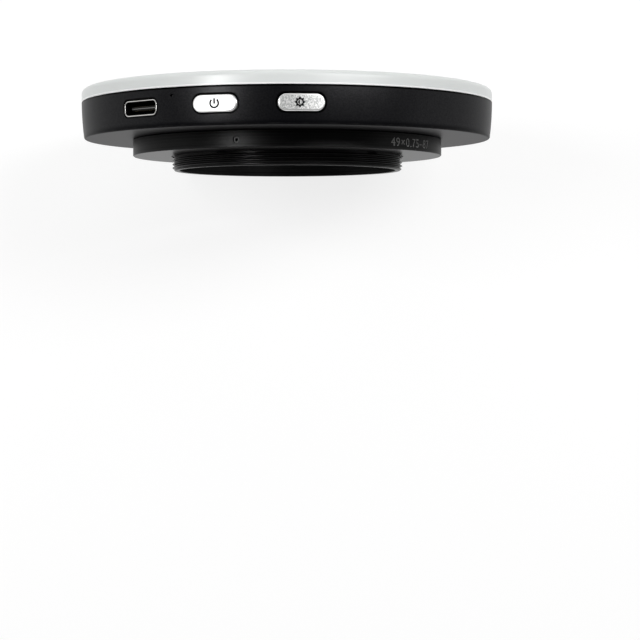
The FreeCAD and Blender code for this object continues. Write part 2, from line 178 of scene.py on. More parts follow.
# 1 for the rays that look straight at a surface, by eye or in a mirror or glass, and 0 for the rest.
def seenDirectly(tree):
    path = addNode("LightPath", tree=tree).outputs
    either = calc("MAXIMUM", path["Is Camera Ray"], path["Is Glossy Ray"])
    return calc("MAXIMUM", either, path["Is Transmission Ray"])


# The node tree of a material or world, emptied.
def emptyTree(owner):
    owner.use_nodes = True
    owner.node_tree.nodes.clear()
    return owner.node_tree


# Near the object the floor is part paper, so that the shadow shows; further out it is all white.
floorSet = {
    "size": 6.0, "drop": 0.00002, "color": (0.86, 0.86, 0.86), "whiteShare": 0.68, "whiteLevel": 1.16,
    "paperReach": (0.22, 0.7),
}


def addFloor(values):
    corners = np.array([(-1, -1, 0), (1, -1, 0), (1, 1, 0), (-1, 1, 0)]) * values["size"] / 2
    corners[:, 2] = cadBox[0][2] - values["drop"]
    mesh = bpy.data.meshes.new("floor")
    mesh.from_pydata(corners.tolist(), [], [(0, 1, 2, 3)])
    material = bpy.data.materials.new("floorPaper")
    tree = emptyTree(material)
    paper = addNode("BsdfDiffuse", {"Color": values["color"]}, tree)
    far = fade(lengthOf(addNode("TexCoord", tree=tree).outputs["Object"]), values["paperReach"])
    white = addNode("Emission", {"Strength": mixValues(far, values["whiteLevel"], 1.0)})
    share = times(seenDirectly(tree), mixValues(far, values["whiteShare"], 1.0))
    mixed = addNode("MixShader", {0: share, 1: paper.outputs[0], 2: white.outputs[0]})
    addNode("OutputMaterial", {"Surface": mixed.outputs[0]})
    mesh.materials.append(material)
    addObject("floor", mesh)


# The room: a white band round the horizon, grey above it, and a dark spot straight overhead.
roomSet = {
    "bandLevel": 0.6, "wallLevel": 0.165, "overheadLevel": 0.02, "wallFade": (0.2, 0.45),
    "overheadFade": (0.89, 0.97),
}


def addRoom(values):
    world = bpy.data.worlds.new("room")
    tree = emptyTree(world)
    direction = addNode("TexCoord", tree=tree).outputs["Generated"]
    height = addNode("SeparateXYZ", {0: direction}).outputs["Z"]
    level = mixValues(seenDirectly(tree), values["bandLevel"], 1.0)
    level = mixValues(fade(height, values["wallFade"]), level, values["wallLevel"])
    level = mixValues(fade(height, values["overheadFade"]), level, values["overheadLevel"])
    light = addNode("Background", {"Color": (1, 1, 1), "Strength": level})
    addNode("OutputWorld", {"Surface": light.outputs[0]})
    bpy.context.scene.world = world


# Soft boxes: how far each leans from straight up towards +X and towards +Y, its distance, its size across
# and along, and its power.
lamps = {
    "leftBox": {"across": -35.0, "along": 8.0, "distance": 0.45, "size": (0.06, 0.14), "power": 0.74},
    "rightBox": {"across": 35.0, "along": 17.0, "distance": 0.45, "size": (0.27, 0.09), "power": 0.92},
    "frontBox": {"across": 0.0, "along": 55.0, "distance": 0.9, "size": (0.8, 0.5), "power": 0.9},
    "backBox": {"across": 0.0, "along": -55.0, "distance": 0.9, "size": (0.8, 0.5), "power": 0.5},
}


# A lamp stands in the direction (sin across * cos along, sin along, cos across * cos along) and faces back.
def addLamp(name, values):
    lamp = bpy.data.lights.new(name, "AREA")
    lamp.shape = "RECTANGLE"
    lamp.size, lamp.size_y = values["size"]
    lamp.energy = values["power"]
    holder = addObject(name, lamp)
    across, along = math.radians(values["across"]), math.radians(values["along"])
    level = math.cos(along)
    outward = Vector((math.sin(across) * level, math.sin(along), math.cos(across) * level))
    side = Vector((0, 1, 0)).cross(outward).normalized()
    turn = Matrix((side, outward.cross(side), outward)).transposed().to_4x4()
    holder.matrix_world = Matrix.Translation(outward * values["distance"]) @ turn
    holder.visible_camera = False


addCamera(cameraSet)
addFloor(floorSet)
addRoom(roomSet)
for lampName, lampValues in lamps.items():
    addLamp(lampName, lampValues)
bpy.context.scene.view_settings.view_transform = "Standard"
print("camera, floor and", len(lamps), "lamps placed")


# Finishes

# A new material, and the place on the piece that its patterns read.
def newFinish(name):
    material = bpy.data.materials.new(name)
    material.use_nodes = True
    return material, addNode("TexCoord", tree=material.node_tree).outputs["Object"]


# Sets or links inputs of the material's Principled shader, and gives the material back.
def plug(material, **inputs):
    shader = material.node_tree.nodes["Principled BSDF"]
    for name, value in inputs.items():
        join(shader.inputs[name.replace("_", " ")], value)
    return material


# Sets the colour, the roughness between the finish's two by a factor, the bump, and what else is given.
def coat(material, values, color, factor, bump, **others):
    rough = mixValues(factor, *values["roughness"])
    return plug(material, Base_Color=color, Roughness=rough, Normal=bump, **others)


# Noise whose features are about so many millimetres across.
def noiseAt(place, size, detail=2.0):
    inputs = {"Vector": place, "Scale": 1 / (size * mm), "Detail": detail}
    return addNode("TexNoise", inputs).outputs["Fac"]


# A bump of so many millimetres from a height between 0 and 1, on top of an earlier one.
def bumpFrom(height, depth, under=None):
    inputs = {"Height": height, "Distance": depth * mm, "Strength": 1.0}
    if under is not None:
        inputs["Normal"] = under
    return addNode("Bump", inputs).outputs["Normal"]


# Grain: a bump from noise of a size and depth, on top of an earlier one.
def grainOn(place, grain, detail=2.0, under=None):
    return bumpFrom(noiseAt(place, grain[0], detail), grain[1], under)


def axisOf(place, name):
    return addNode("SeparateXYZ", {0: place}).outputs[name]


# A fade between two heights along the light's axis, in millimetres from a base height.
def fadeAlong(place, base, limits):
    return fade(axisOf(place, "Y"), [base + limit for limit in limits], mm)


# Distance from the light's axis.
def radiusOf(place):
    return lengthOf(addNode("CombineXYZ", {0: axisOf(place, "X"), 2: axisOf(place, "Z")}).outputs[0])


# The piece's own marks: above 0 where an edge is rubbed or cut, below 0 where painted shade lies in a gap on
# the housing or the caps' plastic stays bare.
def wearOf(place):
    return addNode("Attribute", tree=place.id_data, attribute_name="wear").outputs["Fac"]


# The marks above 0, broken into patches by noise of a size.
def rubbedEdges(place, size, *limits):
    return times(calc("MAXIMUM", wearOf(place), 0.0), fade(noiseAt(place, size, detail=4.0), limits))


# Satin black of the housing: fine spark-eroded grain, faint handling marks, edges rubbed a little paler,
# painted shade under the joint and round the windows' gaps, dull towards the back edge. Fades are (from, to)
# along the axis.
housingFinish = {
    "colors": ((0.0014, 0.0014, 0.002), (0.0025, 0.0025, 0.0033)),
    "rubbedColor": (0.016, 0.016, 0.0165),
    "patches": (1.4, 0.45, 0.72),
    "backColor": (0.007, 0.007, 0.0074),
    "backShare": (0.75, 1.0),
    "backFade": (0.55, 0.02),
    "backRubLess": -0.85,
    # The painted shade under the joint: its colour and where it lies along the axis
    "paintedSeamColor": (0.0004, 0.0004, 0.0004),
    "paintedSeamFade": (-0.42, -0.3),
    "roughness": (0.32, 0.37),
    "backRoughness": 0.39,
    "bend": 1.1,
    "glints": ((4.9, 4.9, 5.1), (8.1, 8.1, 8.3)),
    "edgeGlint": (0.8, 0.8, 0.8),
    "edgeFade": (1.3, 0.25),
    "flatFade": (0.08, 0.01),
    "paintedSeamGlint": (0.3, 0.3, 0.3),
    "cloud": 6.0,
    "speckle": 0.28,
    "speckleFade": (0.3, 0.7),
    "grain": (0.09, 0.0022),
}


def makeHousingBlack(values):
    material, place = newFinish("housingBlack")
    clouds = noiseAt(place, values["cloud"], detail=4.0)
    back = fadeAlong(place, head["backY"], values["backFade"])
    flat = fadeAlong(place, head["backY"], values["flatFade"])
    edge = times(fadeAlong(place, head["backY"], values["edgeFade"]), calc("SUBTRACT", 1.0, flat))
    # Painted shade: a dark line under the joint, and round the windows wherever the marks are below 0
    paintedShade = fadeAlong(place, head["jointY"], values["paintedSeamFade"])
    paintedShade = calc("MAXIMUM", paintedShade, times(wearOf(place), -1.0))
    rubbed = rubbedEdges(place, *values["patches"])
    rubbed = times(rubbed, calc("MULTIPLY_ADD", back, values["backRubLess"], 1.0))
    color = mixColors(clouds, *values["colors"])
    color = mixColors(times(back, mixValues(clouds, *values["backShare"])), color, values["backColor"])
    color = mixColors(rubbed, color, values["rubbedColor"])
    rough = mixValues(clouds, *values["roughness"])
    speckle = fade(noiseAt(place, values["speckle"], detail=3.0), values["speckleFade"])
    glint = mixColors(speckle, *values["glints"])
    # The painted shade dims the gloss as well as the colour
    glint = mixColors(paintedShade, mixColors(edge, glint, values["edgeGlint"]), values["paintedSeamGlint"])
    plug(material, Base_Color=mixColors(paintedShade, color, values["paintedSeamColor"]), Specular_Tint=glint)
    plug(material, Roughness=mixValues(back, rough, values["backRoughness"]), IOR=values["bend"])
    return plug(material, Normal=grainOn(place, values["grain"], detail=3.0))


# Black anodised aluminium: turning marks in rings, a soft metal sheen under the black, a paler seat.
adapterFinish = {
    "colors": ((0.001, 0.001, 0.0011), (0.003, 0.003, 0.003)),
    "rubbedColor": (0.018, 0.0178, 0.0175),
    "patches": (0.9, 0.5, 0.75),
    "seatColor": (0.011, 0.011, 0.0112),
    "seatFade": (0.12, 0.03),
    "roughness": (0.33, 0.39),
    "seatRoughness": 0.28,
    "bend": 1.1,
    "glints": ((3.3, 3.3, 3.3), (6.7, 6.7, 6.7)),
    "cloud": 5.0,
    "ringWidth": 0.16,
    "ringSlope": 0.83,
    "ringFade": (0.3, 0.7),
    "ringDepth": 0.005,
    "grain": (0.05, 0.0012),
}


# The rings are noise in one direction, along the radius plus the height times a slope.
def makeAnodisedBlack(values):
    material, place = newFinish("anodisedBlack")
    along = calc("ADD", radiusOf(place), times(axisOf(place, "Y"), values["ringSlope"]))
    inputs = {"W": calc("DIVIDE", along, values["ringWidth"] * mm), "Scale": 1.0, "Detail": 3.0}
    rings = addNode("TexNoise", inputs, noise_dimensions="1D").outputs["Fac"]
    seat = fadeAlong(place, 0.0, values["seatFade"])
    color = mixColors(rings, *values["colors"])
    color = mixColors(times(seat, rings), color, values["seatColor"])
    color = mixColors(rubbedEdges(place, *values["patches"]), color, values["rubbedColor"])
    rough = mixValues(noiseAt(place, values["cloud"], detail=3.0), *values["roughness"])
    glint = mixColors(fade(rings, values["ringFade"]), *values["glints"])
    under = bumpFrom(rings, values["ringDepth"])
    plug(material, Base_Color=color, Roughness=mixValues(seat, rough, values["seatRoughness"]))
    plug(material, IOR=values["bend"], Specular_Tint=glint)
    return plug(material, Normal=grainOn(place, values["grain"], under=under))


# Distance from the middle of the nearest lamp in a row: across is the rest of the clock angle after whole
# lamp steps, times the radius, and outwards is the radius less the row's.
def lampReach(place, row):
    step = math.tau / lampRows["count"]
    turns = times(calc("ARCTAN2", axisOf(place, "X"), axisOf(place, "Z")), 1 / step)
    offset = calc("SUBTRACT", turns, calc("ROUND", turns))
    radius = radiusOf(place)
    across = times(times(offset, step), radius)
    outward = calc("SUBTRACT", radius, lampRows[row] * mm)
    return lengthOf(addNode("CombineXYZ", {0: across, 1: outward}).outputs[0])


# Milky acrylic of the diffuser: light goes a little way in, the skin has a soft gloss and the faintest
# ripple, the lamps show as faint warm spots, and a painted highlight runs along a line above the joint.
coverFinish = {
    "colors": ((0.70, 0.725, 0.715), (0.745, 0.765, 0.755)),
    "cloud": 9.0,
    "lampColor": (0.80, 0.745, 0.585),
    "lampShare": 0.55,
    "lampFade": (2.9, 0.3),
    "frontFade": (-0.3, -0.02),
    # The painted highlight above the joint: its colour and where it lies along the axis
    "paintedSeamColor": (0.99, 0.995, 0.99),
    "paintedSeamFade": (0.39, 0.29),
    "roughness": (0.29, 0.35),
    "scatter": 0.25,
    "scatterReach": 1.0,
    "scatterColor": (1.0, 1.0, 0.95),
    "bend": 1.56,
    "ripple": (3.5, 0.008),
    "grain": (0.1, 0.0008),
}


def makeMilkyWhite(values):
    material, place = newFinish("milkyWhite")
    clouds = noiseAt(place, values["cloud"], detail=3.0)
    warm, cool = (fade(lampReach(place, row), values["lampFade"], mm) for row in ("warm", "cool"))
    front = fadeAlong(place, head["frontY"], values["frontFade"])
    glow = times(times(calc("MAXIMUM", warm, cool), front), values["lampShare"])
    color = mixColors(clouds, *values["colors"])
    # Painted highlight: a paler line just above the joint
    color = mixColors(fadeAlong(place, head["jointY"], values["paintedSeamFade"]), color, values["paintedSeamColor"])
    bump = grainOn(place, values["grain"], under=grainOn(place, values["ripple"], detail=1.0))
    plug(material, Subsurface_Weight=values["scatter"], Subsurface_Radius=values["scatterColor"])
    plug(material, Subsurface_Scale=values["scatterReach"] * mm, IOR=values["bend"])
    return coat(material, values, mixColors(glow, color, values["lampColor"]), clouds, bump)


# Silver paint of the button caps: flakes on the face, a bright cut edge, bare black plastic behind.
buttonFinish = {
    "colors": ((0.48, 0.49, 0.485), (0.9, 0.9, 0.89)),
    "edgeColor": (0.92, 0.92, 0.91),
    "plasticColor": (0.004, 0.004, 0.0045),
    "roughness": (0.4, 0.48),
    "edgeRoughness": 0.32,
    "metal": 0.94,
    "flake": 0.24,
    "flakeFade": (0.36, 0.64),
    "flakeDepth": 0.006,
}


def makeButtonSilver(values):
    material, place = newFinish("buttonSilver")
    flakes = noiseAt(place, values["flake"], detail=3.0)
    spread = fade(flakes, values["flakeFade"])
    wear = wearOf(place)
    cut = calc("MAXIMUM", wear, 0.0)
    bare = calc("MAXIMUM", times(wear, -1.0), 0.0)
    color = mixColors(spread, *values["colors"])
    color = mixColors(cut, color, values["edgeColor"])
    rough = mixValues(spread, *values["roughness"])
    plug(material, Base_Color=mixColors(bare, color, values["plasticColor"]))
    plug(material, Roughness=mixValues(cut, rough, values["edgeRoughness"]))
    plug(material, Metallic=mixValues(bare, values["metal"], 0.0))
    return plug(material, Normal=bumpFrom(times(flakes, calc("SUBTRACT", 1.0, cut)), values["flakeDepth"]))


# Bright nickel with faint drawing lines round the socket, with painted shade everywhere but the rolled mouth.
nickelFinish = {
    "colors": ((0.6, 0.59, 0.575), (0.74, 0.73, 0.71)), "paintedShadeColor": (0.05, 0.049, 0.048),
    "mouthFade": (0.6, 1.0), "cloud": 1.2, "line": 0.08, "lineStretch": (1.0, 0.15, 1.0),
    "lineDepth": 0.001, "roughness": (0.29, 0.38),
}


def makeNickelShell(values):
    material, place = newFinish("nickelShell")
    stretched = addNode("Mapping", {"Vector": place, "Scale": values["lineStretch"]}).outputs[0]
    lines = noiseAt(stretched, values["line"], detail=3.0)
    bright = mixColors(noiseAt(place, values["cloud"]), *values["colors"])
    mouth = fade(wearOf(place), values["mouthFade"])
    # Painted shade: dark nickel inside the socket, bright only at the rolled mouth
    color = mixColors(mouth, values["paintedShadeColor"], bright)
    return coat(material, values, color, lines, bumpFrom(lines, values["lineDepth"]), Metallic=1.0)


# A lamp package: a white frame round a sunk phosphor pool of one colour.
lampFinish = {
    "frameColors": ((0.78, 0.77, 0.73), (0.86, 0.85, 0.82)), "warmColor": (0.95, 0.55, 0.08),
    "coolColor": (0.93, 0.82, 0.22), "grainShade": 0.82, "poolFade": (1.2, 1.08),
    "roughness": (0.5, 0.12), "grain": 0.1, "grainShare": 0.02, "poolDepth": 0.12,
}


def makeLampFinish(name, row, values):
    material, place = newFinish(name)
    pool = fade(lampReach(place, row), values["poolFade"], mm)
    fine = noiseAt(place, values["grain"])
    phosphor = values[row + "Color"]
    phosphorColor = mixColors(fine, phosphor, tuple(values["grainShade"] * c for c in phosphor))
    frameColor = mixColors(fine, *values["frameColors"])
    height = calc("MULTIPLY_ADD", pool, -1.0, times(fine, values["grainShare"]))
    color = mixColors(pool, frameColor, phosphorColor)
    return coat(material, values, color, pool, bumpFrom(height, values["poolDepth"]))


# A circuit board: solder mask with ring-shaped tracks just showing under it.
boardFinish = {
    "boardWhite": {"mask": (0.8, 0.81, 0.79), "track": (0.68, 0.69, 0.66), "spacing": 1.9},
    "boardGreen": {"mask": (0.008, 0.09, 0.035), "track": (0.02, 0.17, 0.06), "spacing": 0.9},
    "wander": 7.0, "wanderShare": 0.4, "trackFade": (0.27, 0.31), "grain": 0.15, "grainShade": 0.6,
    "grainShare": 0.25, "grainHeight": 0.1, "roughness": (0.3, 0.42), "trackDepth": 0.02,
}


# The tracks run where the radius, shifted by whole steps of noise, lies past a share of its zigzag.
def makeBoardFinish(name, values):
    material, place = newFinish(name)
    mask, track = values[name]["mask"], values[name]["track"]
    spacing = values[name]["spacing"] * mm
    steps = calc("ROUND", noiseAt(place, values["wander"], detail=1.0))
    wander = times(steps, values["wanderShare"] * spacing)
    shifted = calc("ADD", radiusOf(place), wander)
    ring = calc("PINGPONG", calc("DIVIDE", shifted, spacing), 0.5)
    tracks = fade(ring, values["trackFade"])
    fine = noiseAt(place, values["grain"])
    dark = tuple(values["grainShade"] * c for c in mask)
    color = mixColors(times(fine, values["grainShare"]), mixColors(tracks, mask, track), dark)
    height = calc("MULTIPLY_ADD", fine, values["grainHeight"], tracks)
    return coat(material, values, color, fine, bumpFrom(height, values["trackDepth"]))


# Pouch foil of a cell, creased, with an amber tape wrapped round one end, and the cells' clock angles.
foilFinish = {
    "colors": ((0.55, 0.56, 0.57), (0.75, 0.76, 0.77)), "tapeColor": (0.55, 0.25, 0.03),
    "tapeFade": (-10.9, -11.1), "roughness": (0.28, 0.45), "metal": 0.9, "crease": 4.0,
    "creaseDepth": 0.15, "grain": 0.2, "grainShare": 0.04,
}
cellAngles = {"cell_right": 60, "cell_lower_right": 120, "cell_lower_left": 180, "cell_left": 240}


def makeCellFoil(name, clockAngle, values):
    material, place = newFinish(name)
    turn = math.radians(clockAngle)
    inputs = {0: place, 1: (math.cos(turn), 0.0, -math.sin(turn))}
    across = addNode("VectorMath", inputs, operation="DOT_PRODUCT").outputs["Value"]
    tape = fade(across, values["tapeFade"], mm)
    creases = noiseAt(place, values["crease"], detail=4.0)
    foil = mixColors(creases, *values["colors"])
    height = calc("ADD", creases, times(noiseAt(place, values["grain"]), values["grainShare"]))
    color = mixColors(tape, foil, values["tapeColor"])
    metal = mixValues(tape, values["metal"], 0.0)
    return coat(material, values, color, creases, bumpFrom(height, values["creaseDepth"]), Metallic=metal)


# The socket's tongue: black plastic moulded round a steel plate, whose edge shows along its middle.
tongueFinish = {
    "colors": ((0.002, 0.002, 0.0022), (0.005, 0.005, 0.0055)),
    "steelColors": ((0.14, 0.14, 0.137), (0.23, 0.225, 0.22)), "plateY": 7.55, "plateFade": (0.09, 0.06),
    "roughness": (0.32, 0.45), "bend": 1.2, "grain": 0.06, "grainDepth": 0.002,
}


def makeTongueFinish(values):
    material, place = newFinish("tongueBlack")
    aside = calc("ABSOLUTE", calc("SUBTRACT", axisOf(place, "Y"), values["plateY"] * mm))
    plate = fade(aside, values["plateFade"], mm)
    fine = noiseAt(place, values["grain"])
    plastic = mixColors(fine, *values["colors"])
    steel = mixColors(fine, *values["steelColors"])
    color, bump = mixColors(plate, plastic, steel), bumpFrom(fine, values["grainDepth"])
    return coat(material, values, color, fine, bump, Metallic=plate, IOR=values["bend"])


# The clear rod behind the pinhole.
pipeFinish = {
    "colors": ((0.86, 0.9, 0.9), (0.94, 0.96, 0.96)), "roughness": (0.05, 0.12), "clear": 0.9,
    "bend": 1.49, "grain": 0.2,
}


def makeClearPipe(values):
    material, place = newFinish("clearPipe")
    fine = noiseAt(place, values["grain"])
    plug(material, IOR=values["bend"], Transmission_Weight=values["clear"])
    rough = mixValues(fine, *values["roughness"])
    return plug(material, Base_Color=mixColors(fine, *values["colors"]), Roughness=rough)


# Printed ink: where fine noise lies under the gap the colour is darker, and past the fade it is full.
inkFinish = {
    "darkInk": {"color": (0.006, 0.006, 0.0065), "gap": 0.1},
    "greyInk": {"color": (0.34, 0.34, 0.335), "gap": 0.33}, "speckShade": 0.45, "speckFade": 0.2,
    "roughness": (0.6, 0.75), "bend": 1.2, "grain": 0.06, "grainDepth": 0.001,
}


def makePrintInk(name, values):
    material, place = newFinish(name)
    color, gap = values[name]["color"], values[name]["gap"]
    fine = noiseAt(place, values["grain"], detail=3.0)
    full = fade(fine, (gap, gap + values["speckFade"]))
    dark = tuple(values["speckShade"] * c for c in color)
    bump = bumpFrom(fine, values["grainDepth"])
    return coat(material, values, mixColors(full, dark, color), fine, bump, IOR=values["bend"])


housingBlack = makeHousingBlack(housingFinish)
anodisedBlack = makeAnodisedBlack(adapterFinish)
milkyWhite = makeMilkyWhite(coverFinish)
buttonSilver = makeButtonSilver(buttonFinish)
nickelShell = makeNickelShell(nickelFinish)
darkInk = makePrintInk("darkInk", inkFinish)
greyInk = makePrintInk("greyInk", inkFinish)
print("finishes mixed:", len(bpy.data.materials))


# Surfaces

# A grid of points as a surface: rows by columns, closed on itself either way if asked.
# keep says which cells have a face.
def gridSurface(x, y, z, wear=0.0, closedRows=False, closedColumns=False, keep=None):
    x, y, z, wear = np.broadcast_arrays(x, y, z, wear)
    rowCount, columnCount = x.shape
    row, column = np.meshgrid(
        np.arange(rowCount if closedRows else rowCount - 1),
        np.arange(columnCount if closedColumns else columnCount - 1), indexing="ij")
    nextRow, nextColumn = (row + 1) % rowCount, (column + 1) % columnCount
    corners = ((row, column), (row, nextColumn), (nextRow, nextColumn), (nextRow, column))
    quads = np.stack([r * columnCount + c for r, c in corners], -1)
    if keep is not None:
        quads = quads[keep]
    return np.stack([x, y, z], -1).reshape(-1, 3), quads.reshape(-1, 4), wear.reshape(-1)


# Joins surfaces into one closed piece: shared seams merged, faces turned outwards, sharp only past an angle.
def makePiece(name, surfaces, material, body, replaced=None, sharpAngle=38.0, mergeReach=0.0002):
    offsets = np.cumsum([0] + [len(s[0]) for s in surfaces])
    points = np.concatenate([s[0] for s in surfaces]) * mm
    quads = np.concatenate([s[1] + start for s, start in zip(surfaces, offsets)])
    wear = np.concatenate([s[2] for s in surfaces])
    mesh = bpy.data.meshes.new(name)
    mesh.from_pydata(points.tolist(), [], quads.tolist())
    mesh.attributes.new("wear", "FLOAT", "POINT").data.foreach_set("value", wear.astype(np.float32))
    work = bmesh.new()
    work.from_mesh(mesh)
    bmesh.ops.remove_doubles(work, verts=work.verts, dist=mergeReach * mm)
    bmesh.ops.recalc_face_normals(work, faces=work.faces)
    openEdges = sum(1 for edge in work.edges if not edge.is_manifold)
    work.to_mesh(mesh)
    work.free()
    mesh.polygons.foreach_set("use_smooth", np.ones(len(mesh.polygons), bool))
    mesh.set_sharp_from_angle(angle=math.radians(sharpAngle))
    mesh.materials.append(material)
    piece = addObject(name, mesh)
    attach(piece, body)
    if replaced:
        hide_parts(replaced)
    print(name, len(mesh.polygons), "faces,", openEdges, "open edges")


# Rounds the corners of a closed outline of (radius, height, rounding) corners.
# Each rounded corner is an arc that touches both sides, centred on their bisector, and a point
# a little further along each side keeps the flat beside it flat. Wear is 1 along the arcs.
def roundedOutline(corners, steps=6, besideShare=0.3):
    spots = np.array([c[:2] for c in corners], float)
    places, wears = [], []
    for i, corner in enumerate(spots):
        rounding = corners[i][2]
        if rounding == 0:
            places.append(corner[None, :])
            wears.append([0.0])
            continue
        back, ahead = spots[i - 1] - corner, spots[(i + 1) % len(spots)] - corner
        back /= np.linalg.norm(back)
        ahead /= np.linalg.norm(ahead)
        halfAngle = math.acos(np.clip(back @ ahead, -1, 1)) / 2
        reach = rounding / math.tan(halfAngle)
        middle = corner + (back + ahead) / np.linalg.norm(back + ahead) * rounding / math.sin(halfAngle)
        first = corner + back * reach - middle
        last = corner + ahead * reach - middle
        start = math.atan2(first[1], first[0])
        sweep = (math.atan2(last[1], last[0]) - start + math.pi) % math.tau - math.pi
        turn = start + sweep * np.linspace(0, 1, steps + 1)
        arc = middle + rounding * np.stack([np.cos(turn), np.sin(turn)], 1)
        further = reach + besideShare * rounding
        places.append(np.vstack([corner + back * further, arc, corner + ahead * further]))
        wears.append([0.0] + [1.0] * (steps + 1) + [0.0])
    return np.vstack(places), np.concatenate(wears)


# Carries an outline round the axis: x is the radius times the sine of the clock angle, z times its cosine.
# A radius may differ from angle to angle. Cells inside a gap (rows, columns) are left open.
def turnedSurface(radii, heights, angles, wear=0.0, gaps=(), centre=(0.0, 0.0)):
    turn = np.radians(angles)[None, :]
    radii = np.asarray(radii, float)
    radii = radii[:, None] if radii.ndim == 1 else radii
    keep = np.ones((len(heights), len(angles)), bool)
    for rows, columns in gaps:
        keep[rows[0]:rows[1], columns[0]:columns[1]] = False
    wear = np.broadcast_to(wear, len(heights))[:, None]
    x = centre[0] + radii * np.sin(turn)
    z = centre[1] + radii * np.cos(turn)
    return gridSurface(x, np.asarray(heights)[:, None], z, wear, True, True, keep)


# Clock angles once round, about so far apart, with an even run of finer steps across each window.
def anglesRound(windows, coarse):
    runs = []
    marks = sorted((w["angle"] - w["halfSpan"], w["angle"] + w["halfSpan"], w["columns"]) for w in windows)
    for (low, high, count), following in zip(marks, marks[1:] + [(marks[0][0] + 360, 0, 0)]):
        between = max(1, round((following[0] - high) / coarse))
        runs.append(np.linspace(low, high, count + 1)[:-1])
        runs.append(np.linspace(high, following[0], between + 1)[:-1])
    return np.concatenate(runs)


# The section of a bar with rounded corners, as a skeleton and a direction for each point of its outline.
# The outline grown by g is skeleton + direction * (corner + g). Points sit at even shares of the way round
# from the middle of the lower side, or at given ones.
def barSection(length, height, corner, shares, cornerPoints=31):
    if np.ndim(shares) == 0:
        shares = np.arange(0, 1, 1 / shares)
    run = np.array([length / 2 - corner, height / 2 - corner])
    lowest = np.array([[0.0, -run[1]]])
    turns, spots = [np.array([-90.0])], [lowest]
    for i, side in enumerate(((1, -1), (1, 1), (-1, 1), (-1, -1))):
        turns.append(np.linspace(-90, 0, cornerPoints) + 90 * i)
        spots.append(np.tile(run * side, (cornerPoints, 1)))
    turns, spots = np.concatenate(turns + [[270.0]]), np.vstack(spots + [lowest])
    edge = spots + corner * np.stack([np.cos(np.radians(turns)), np.sin(np.radians(turns))], 1)
    way = np.concatenate([[0], np.cumsum(np.linalg.norm(np.diff(edge, axis=0), axis=1))])
    at = np.asarray(shares) * way[-1]
    turn = np.radians(np.interp(at, way, turns))
    skeleton = np.stack([np.interp(at, way, spots[:, 0]), np.interp(at, way, spots[:, 1])], 1)
    return skeleton, np.stack([np.cos(turn), np.sin(turn)], 1)


# From a piece's own place at a clock angle (across, outward) to the frame's (x, z), by a turn about the axis.
def atAngle(across, outward, angle):
    turn = math.radians(angle)
    sine, cosine = math.sin(turn), math.cos(turn)
    return across * cosine + outward * sine, outward * cosine - across * sine


# A window's values: the cells of the wall's grid that it takes, and its bar-shaped hole, grown by a gap.
def windowAt(cells, angle, y, length, height, corner, gap=0.0, **changes):
    hole = {"length": length + 2 * gap, "height": height + 2 * gap, "corner": corner + gap}
    return {**cells, "angle": angle, "y": y, **hole, **changes}


# The wall round a window, from the gap in the outer skin through to the gap in the inner one.
# In each skin the points slide in straight lines, in angle and height, from the gap's frame to the
# window's outline; the outline's outer edge is rounded, and the hole runs straight through.
def windowSurface(window, outerRadiusAt, innerRadiusAt, slides=5, roundSteps=4):
    columns, rows = window["columns"], window["rows"]
    right = np.linspace(0, 1, columns // 2 + 1)[:-1]
    upward = np.linspace(-1, 1, rows + 1)[:-1]
    leftward = np.linspace(1, -1, columns + 1)[:-1]
    frameX = np.concatenate([right, np.ones(rows), leftward, -np.ones(rows), right - 1])
    frameY = np.concatenate([-np.ones(len(right)), upward, np.ones(columns), -upward, -np.ones(len(right))])
    span = math.radians(window["halfSpan"]) * outerRadiusAt(window["y"])
    rise = (window["outer"][1] - window["outer"][0]) / 2
    step = np.hypot(np.diff(frameX, append=frameX[0]) * span, np.diff(frameY, append=frameY[0]) * rise)
    shares = np.concatenate([[0], np.cumsum(step)[:-1]]) / step.sum()
    skeleton, direction = barSection(window["length"], window["height"], window["corner"], shares)

    def outline(grow, depth, radiusAt):
        flat = skeleton + direction * (window["corner"] + grow)
        height = window["y"] + flat[:, 1]
        outward = np.sqrt(radiusAt(height) ** 2 - flat[:, 0] ** 2) - depth
        return np.degrees(np.arctan2(flat[:, 0], outward)), height, np.hypot(flat[:, 0], outward)

    def skin(limits, grow, radiusAt, slide):
        angle, height = outline(grow, 0.0, radiusAt)[:2]
        frameHeight = limits[0] + (frameY + 1) / 2 * (limits[1] - limits[0])
        height = height + (frameHeight - height) * slide
        return angle + (frameX * window["halfSpan"] - angle) * slide, height, radiusAt(height)

    edge = window["edge"]
    lines = [skin(window["outer"], edge, outerRadiusAt, s) for s in np.linspace(1, 0, slides + 1)]
    for turn in np.linspace(0, math.pi / 2, roundSteps + 1)[1:]:
        lines.append(outline(edge * (1 - math.sin(turn)), edge * (1 - math.cos(turn)), outerRadiusAt))
    lines += [skin(window["inner"], 0.0, innerRadiusAt, s) for s in np.linspace(0, 1, slides + 1)]
    angle, height, radius = (np.array([line[i] for line in lines]) for i in range(3))
    turn = np.radians(angle + window["angle"])
    wear = np.zeros(len(lines))
    wear[slides:slides + roundSteps + 2] = window["wear"]
    x, z = radius * np.sin(turn), radius * np.cos(turn)
    return gridSurface(x, height, z, wear[:, None], closedColumns=True)


# The first and last row of an outline between two heights, where its radius is in a range.
def rowSpan(outline, limits, radii, slack=1e-6):
    inside = (outline[:, 0] > radii[0]) & (outline[:, 0] < radii[1])
    inside &= (outline[:, 1] > limits[0] - slack) & (outline[:, 1] < limits[1] + slack)
    found = np.flatnonzero(inside)
    return found[0], found[-1]


# The radii just under and just over a skin's own.
def near(radius, slack=0.01):
    return radius - slack, radius + slack


# The gaps (rows, columns) that the windows leave in a turned wall, in its outer and its inner skin.
def gapsFor(windows, outline, angles, outerRadii, innerRadii):
    gaps = []
    for window in windows:
        first = int(np.argmin(np.abs(angles - (window["angle"] - window["halfSpan"]))))
        columns = (first, first + window["columns"])
        gaps.append((rowSpan(outline, window["outer"], outerRadii), columns))
        gaps.append((rowSpan(outline, window["inner"], innerRadii), columns))
    return gaps


# Rear housing: the tapered shell with its windows, the grooved neck behind and the posts inside

